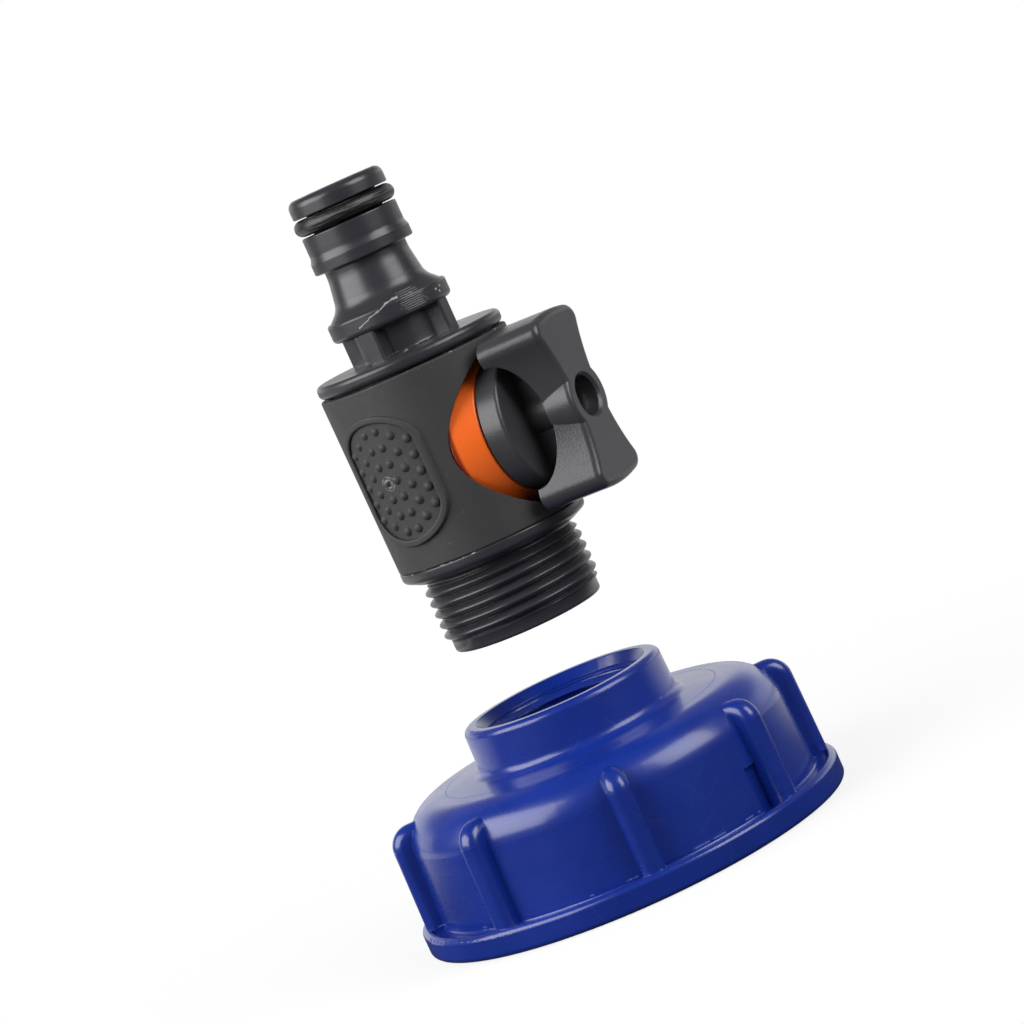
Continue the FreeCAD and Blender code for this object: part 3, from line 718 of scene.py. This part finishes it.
def flange_flash_glints(made):
    tree = made.tree
    dashes = drawn_noise(tree, made.point, (260, 260, 40), 3.0, 0.7)
    flash_glints = times(
        tree,
        band_mm(tree, made.height, FLANGE_TOP, FLANGE_TOP + FLASH_GLINT_HEIGHT, 0.10),
        band_mm(tree, made.radius, *FLASH_GLINT_RADII, 0.10),
        span(tree, dashes, 0.56, 0.62),
    )
    # The pale dashes on the flash are painted glints along the seam.
    made.tint(flash_glints, CAP_PALE, 0.5)
    made.dull(flash_glints, 0.4)


print("ring radius in mm:", RING_R)

# %% [markdown]
# Handling leaves dust, most of it on the hub, and a few hairlines on the body. A hairline runs in an
# arc, as a thing that brushes past draws it, so each is where a ball round a point on the body cuts
# its wall. They are broken up by noise, because a scratch seldom shows along its whole length.

# %% Wear on the cap
HUB_FOOT = (22.8, 23.5)
HAIR_BLUE = (0.05, 0.10, 0.48)
HAIR_WIDTH = 0.04
CAP_HAIRS = [
    (-28, 32, 10, 9.0),
    (-12, 32, 24, 13.0),
    (4, 32, 6, 12.0),
    (18, 32, 20, 10.5),
    (-44, 32, 16, 8.0),
    (32, 32, 8, 7.0),
    (8, 32, 21, 16.0),
]


def cap_dust(made):
    tree = made.tree
    on_hub = span(tree, made.height, HUB_FOOT[0] * MM, HUB_FOOT[1] * MM)
    hub_dust = times(tree, specks(tree, made.point, 420, 0.07, 0.16), on_hub)
    fine_dust = specks(tree, made.point, 150, 0.025, 0.20)
    made.tint(most(tree, hub_dust, fine_dust), CAP_PALE, 0.8)


def cap_hairlines(made):
    tree = made.tree
    hairs = []
    for angle, radius, height, size in CAP_HAIRS:
        hairs.append(hair(tree, made.point, spot(angle, radius, height), size, HAIR_WIDTH))
    broken = span(tree, noise(tree, made.point, 120, 2.0), 0.50, 0.60)
    marks = times(tree, most(tree, *hairs), broken)
    made.tint(marks, HAIR_BLUE, 0.35)
    made.lift(marks, -4 * MICRON)


cap = cap_plastic()
cut_ring(cap)
flange_flash_glints(cap)
cap_dust(cap)
cap_hairlines(cap)
finishes["cap_blue"] = cap.done()

# %% [markdown]
# The tap's mouldings are satin charcoal plastic with very fine turning lines. They stay shallow, a few
# microns deep, because deeper ones scatter the light and make the plastic look flat.

# %% Charcoal plastic
CHARCOAL = (0.032, 0.0305, 0.037)
CHARCOAL_GLOSS = 0.30
CHARCOAL_SHINE = 0.6


def charcoal_plastic():
    made = Finish("body_charcoal", CHARCOAL, CHARCOAL_GLOSS)
    tree = made.tree
    turned = drawn_noise(tree, made.point, (40, 40, 2400), 2.0, 0.6)
    made.lift(turned, 5 * MICRON)
    made.lift(noise(tree, made.point, 3000, 1.0), 3 * MICRON)
    made.dull(span(tree, turned, 0.50, 0.75), 0.08)
    made.skin.inputs["Specular IOR Level"].default_value = CHARCOAL_SHINE
    return made


print("charcoal plastic ready")

# %% [markdown]
# The collar under the spigot was knocked and dragged. A jagged pale scratch climbs over its upper edge,
# a stack of fine level scratches lies beside it, and a few chips are near. The scratch follows a line
# through stops read as angle and height, and one noise makes all of it jagged.

# %% Marks on the collar
COLLAR_HEIGHTS = (94.25, 98.55)
COLLAR_WALL = (8.3, 8.6)
SCRATCH = [
    (-32.5, 95.45),
    (-27.5, 95.75),
    (-21.5, 96.10),
    (-18.7, 96.40),
    (-12.3, 96.62),
    (-7.0, 96.88),
    (-3.5, 97.12),
    (-0.9, 97.38),
    (2.6, 97.50),
    (12.3, 97.55),
]
SCRATCH_JAG = 0.6
SCRATCH_HALF = (0.14, 0.06)
STACK_STEP = 0.34
STACK_ANGLES = (14.0, 33.0)
STACK_STRENGTH = 0.38
CHIPS = [
    (1.0, 9.6, 97.6, 0.45),
    (20.5, 9.6, 97.5, 0.35),
    (25.5, 9.6, 97.6, 0.50),
    (52.0, 10.0, 96.1, 0.30),
    (56.5, 10.0, 95.6, 0.30),
    (60.0, 10.0, 96.3, 0.25),
]


def jagged_scratch(made, shake):
    tree = made.tree
    line = calc(tree, "MULTIPLY", path(tree, made.angle, SCRATCH), MM)
    line = calc(tree, "MULTIPLY_ADD", shake, SCRATCH_JAG * MM, line)
    off = calc(tree, "ABSOLUTE", calc(tree, "SUBTRACT", made.height, line))
    return times(
        tree,
        span(tree, off, SCRATCH_HALF[0] * MM, SCRATCH_HALF[1] * MM),
        band(tree, made.angle, SCRATCH[0][0], SCRATCH[-1][0], 0.5),
    )


def level_scratches(made, shake):
    tree = made.tree
    step = calc(tree, "FRACT", calc(tree, "MULTIPLY", made.height, 1 / (STACK_STEP * MM)))
    ragged_angle = calc(tree, "MULTIPLY_ADD", shake, 30.0, made.angle)
    return times(
        tree,
        band(tree, step, 0.36, 0.58, 0.10),
        band(tree, ragged_angle, *STACK_ANGLES, 3.0),
        span(tree, made.height, 94.4 * MM, 94.8 * MM),
        STACK_STRENGTH,
    )


def spots(made, places):
    """One blot for each angle, radius, height and size."""
    blots = []
    for angle, radius, height, size in places:
        blots.append(blot(made.tree, made.point, spot(angle, radius, height), size))
    return blots


def collar_wear(made):
    tree = made.tree
    on_collar = times(
        tree,
        span(tree, made.radius, COLLAR_WALL[0] * MM, COLLAR_WALL[1] * MM),
        band_mm(tree, made.height, *COLLAR_HEIGHTS, 0.2),
    )
    shake = calc(tree, "SUBTRACT", noise(tree, made.point, 1500, 3.0, 0.7), 0.5)
    marks = [jagged_scratch(made, shake), level_scratches(made, shake)]
    return times(tree, most(tree, *marks, *spots(made, CHIPS)), on_collar)


print("scratch runs over", SCRATCH[-1][0] - SCRATCH[0][0], "degrees")

# %% [markdown]
# Crumbs of flash are left at the feet of the posts and in the seam at the sleeve's lower end, where no
# tool reached. All the marks are joined before they are painted, so that none is painted twice.

# %% Crumbs and worn charcoal
SCUFFED = (0.34, 0.34, 0.35)
POST_CRUMBS = [(41.0, 9.2, 93.0, 0.55), (36.0, 9.0, 92.6, 0.35)]
POST_FOOT = 89.35
FOOT_HEIGHT = 0.25
FOOT_RADII = (10.1, 9.9)
SLEEVE_LOW = 57.3
SLEEVE_TOP = 86.9


def foot_crumbs(made):
    tree = made.tree
    ragged = drawn_noise(tree, made.point, (900, 900, 2500), 3.0, 0.7)
    return times(
        tree,
        band_mm(tree, made.height, POST_FOOT, POST_FOOT + FOOT_HEIGHT, 0.10),
        span(tree, made.radius, FOOT_RADII[0] * MM, FOOT_RADII[1] * MM),
        span(tree, ragged, 0.58, 0.66),
    )


def seam_crumbs(made):
    tree = made.tree
    ragged = drawn_noise(tree, made.point, (320, 320, 300), 3.0, 0.7)
    return times(
        tree,
        band_mm(tree, made.height, SLEEVE_LOW - 0.12, SLEEVE_LOW + 0.1, 0.1),
        span(tree, ragged, 0.58, 0.64),
    )


charcoal = charcoal_plastic()
worn = most(
    charcoal.tree,
    collar_wear(charcoal),
    foot_crumbs(charcoal),
    seam_crumbs(charcoal),
    *spots(charcoal, POST_CRUMBS),
)
charcoal.tint(worn, SCUFFED)
charcoal.dull(worn, 0.30)
charcoal.lift(worn, 40 * MICRON)
charcoal.tint(specks(charcoal.tree, charcoal.point, 260, 0.035, 0.12), SCUFFED, 0.5)
finishes["body_charcoal"] = charcoal.done()

# %% [markdown]
# The grip sleeve is a duller charcoal with a dry grain, so that a wet hand holds it. Two grains of
# different size do that, one of them level like the mould's polish, and white dust sticks to it.

# %% Sleeve plastic
SLEEVE = (0.039, 0.0362, 0.0385)
SLEEVE_GLOSS = 0.58
DUST_GREY = (0.42, 0.42, 0.42)


def sleeve_plastic():
    made = Finish("sleeve_matte", SLEEVE, SLEEVE_GLOSS, shade=0.92)
    tree = made.tree
    made.lift(noise(tree, made.point, 4500, 1.0, 0.6), 14 * MICRON)
    made.lift(drawn_noise(tree, made.point, (60, 60, 1800), 3.0, 0.6), 15 * MICRON)
    made.dull(span(tree, noise(tree, made.point, 600, 4.0, 0.65), 0.45, 0.70), 0.12)
    dust = specks(tree, made.point, 330, 0.040, 0.30)
    fine_dust = specks(tree, made.point, 900, 0.060, 0.10)
    made.tint(most(tree, dust, fine_dust), DUST_GREY, 0.65)
    return made


print("sleeve plastic ready")

# %% [markdown]
# One dot of the front pad has a swirl scuffed round it, and bits of flash stick to the sleeve's two
# rims. The swirl is two thin shells round the dot's middle, bent and broken by the same noise.

# %% Scuffs on the sleeve
SWIRL = (-45.0, 15.6, 71.9)
SWIRL_INNER = (0.62, 0.78)
SWIRL_OUTER = (1.12, 1.20)
SWIRL_BEND = 1.2
SWIRL_GREY = (0.30, 0.29, 0.29)
RIM_GREY = (0.40, 0.39, 0.38)


def pad_swirl(made):
    tree = made.tree
    ragged = noise(tree, made.point, 1800, 4.0, 0.75)
    away = away_from(tree, made.point, spot(*SWIRL))
    wavy = calc(tree, "MULTIPLY_ADD", calc(tree, "SUBTRACT", ragged, 0.5), SWIRL_BEND * MM, away)
    rings = most(
        tree,
        band_mm(tree, wavy, *SWIRL_INNER, 0.10),
        band_mm(tree, wavy, *SWIRL_OUTER, 0.08),
    )
    made.tint(times(tree, rings, span(tree, ragged, 0.44, 0.52)), SWIRL_GREY, 0.8)


def rim_flash(made):
    tree = made.tree
    loose = drawn_noise(tree, made.point, (500, 500, 900), 3.0, 0.7)
    rims = most(
        tree,
        band_mm(tree, made.height, SLEEVE_TOP - 0.12, SLEEVE_TOP, 0.08),
        band_mm(tree, made.height, SLEEVE_LOW, SLEEVE_LOW + 0.14, 0.08),
    )
    made.tint(times(tree, rims, span(tree, loose, 0.60, 0.66)), RIM_GREY, 0.8)


sleeve = sleeve_plastic()
pad_swirl(sleeve)
rim_flash(sleeve)
finishes["sleeve_matte"] = sleeve.done()

# %% [markdown]
# The lever has a slightly coarser, sparkling grain than the body, with dull rubs from the hand. The
# rubs are noise drawn out along the lever's stem.

# %% Lever finish
LEVER_CHARCOAL = (0.049, 0.047, 0.053)
LEVER_GLOSS = 0.30


def finish_lever():
    made = Finish("lever_charcoal", LEVER_CHARCOAL, LEVER_GLOSS)
    tree = made.tree
    made.lift(noise(tree, made.point, 4200, 1.0, 0.6), 20 * MICRON)
    made.lift(noise(tree, made.point, 900, 2.0, 0.6), 10 * MICRON)
    rubs = drawn_noise(tree, made.point, (500, 90, 500), 4.0, 0.7)
    made.dull(span(tree, rubs, 0.60, 0.72), 0.14)
    made.tint(specks(tree, made.point, 420, 0.040, 0.12), SCUFFED, 0.5)
    return made.done()


finishes["lever_charcoal"] = finish_lever()

# %% [markdown]
# The bonnet is orange, and its mould was turned about the lever's stem, so its rings count from the
# stem's axis and not from the pipe's. Where it dives under the sleeve it is painted dark red, a
# painted shade for the gap, which light reaches only through the orange plastic.

# %% Bonnet finish
ORANGE = (0.95, 0.155, 0.018)
ORANGE_GLOSS = 0.27
GAP_SHADE_RED = (0.16, 0.010, 0.004)
ORANGE_PALE = (0.9, 0.5, 0.3)
STEM_HEIGHT = 72.1
BONNET_EDGE = (13.05, 13.3)
RINGS_PER_M = 2600


def finish_bonnet():
    made = Finish("bonnet_orange", ORANGE, ORANGE_GLOSS, shade=0.93)
    tree = made.tree
    stem = (0, 0, STEM_HEIGHT * MM)
    moved = put(tree, "VectorMath", {0: made.point, 1: stem}, operation="SUBTRACT").outputs[0]
    flat = put(tree, "VectorMath", {0: moved, 1: (1, 0, 1)}, operation="MULTIPLY").outputs[0]
    from_stem = length_of(tree, flat)
    place = calc(tree, "MULTIPLY_ADD", from_stem, RINGS_PER_M, noise(tree, made.point, 60, 2.0))
    sockets = {"W": place, "Scale": 1.0, "Detail": 3.0}
    rings = put(tree, "TexNoise", sockets, noise_dimensions="1D").outputs["Fac"]
    made.lift(rings, 10 * MICRON)
    made.lift(noise(tree, made.point, 3000, 2.0), 5 * MICRON)
    # Painted shade: the bonnet turns dark red near the sleeve's edge, where it dives into the gap.
    made.tint(span(tree, from_stem, BONNET_EDGE[0] * MM, BONNET_EDGE[1] * MM), GAP_SHADE_RED, 0.9)
    made.tint(specks(tree, made.point, 300, 0.035, 0.15), ORANGE_PALE, 0.5)
    return made.done()


finishes["bonnet_orange"] = finish_bonnet()

# %% [markdown]
# The O-rings are black rubber. Fine pale streaks run round them where they were rubbed, and the
# streaks are duller than the rest. Noise drawn out level round the axis gives both at once.

# %% Rubber finish
RUBBER = (0.0075, 0.0075, 0.008)
RUBBER_GLOSS = 0.38
RUBBED = (0.16, 0.155, 0.15)


def finish_rubber():
    made = Finish("seal_rubber", RUBBER, RUBBER_GLOSS)
    tree = made.tree
    streak = drawn_noise(tree, made.point, (130, 130, 3600), 4.0, 0.7)
    streaks = span(tree, streak, 0.53, 0.64)
    made.tint(streaks, RUBBED, 0.75)
    made.dull(streaks, 0.25)
    made.lift(noise(tree, made.point, 2600, 3.0, 0.6), 20 * MICRON)
    made.lift(streak, 20 * MICRON)
    return made.done()


finishes["seal_rubber"] = finish_rubber()

# %% [markdown]
# The parts inside are plain: white low-friction seats, an off-white stem and ball with turning lines,
# and a zinc-plated screw with a fine grain. They hardly show, so a few layers are enough.

# %% Inner finishes
SEAT_WHITE = (0.80, 0.80, 0.78)
STEM_WHITE = (0.72, 0.71, 0.68)
ZINC = (0.52, 0.52, 0.53)


def finish_seat():
    made = Finish("seat_white", SEAT_WHITE, 0.50, shade=0.95)
    made.lift(noise(made.tree, made.point, 2800, 2.0), 10 * MICRON)
    return made.done()


def finish_stem():
    made = Finish("stem_plastic", STEM_WHITE, 0.38, shade=0.95)
    made.lift(drawn_noise(made.tree, made.point, (60, 3000, 60)), 10 * MICRON)
    return made.done()


def finish_screw():
    made = Finish("screw_steel", ZINC, 0.32, shade=0.85)
    made.skin.inputs["Metallic"].default_value = 1.0
    grain = drawn_noise(made.tree, made.point, (900, 200, 900), 4.0, 0.7)
    made.dull(span(made.tree, grain, 0.5, 0.7), 0.15)
    made.lift(grain, 10 * MICRON)
    return made.done()


finishes["seat_white"] = finish_seat()
finishes["stem_plastic"] = finish_stem()
finishes["screw_steel"] = finish_screw()

# %% [markdown]
# Each solid takes the finish of the slot that the record gives it, and so do the two threads. The
# solids already have a material slot, so only what it holds changes, and their meshes stay as they are.

# %% Dress the pieces
for part in frame["record"]["subparts"]:
    node = frame["nodes"][part["node"]]
    for place in node.material_slots:
        place.material = finishes[part["material_slot"]]
for piece, slot in ((threaded, "body_charcoal"), (hub_thread, "cap_blue")):
    piece.data.materials.clear()
    piece.data.materials.append(finishes[slot])
print("dressed", len(frame["nodes"]) + 2, "pieces")
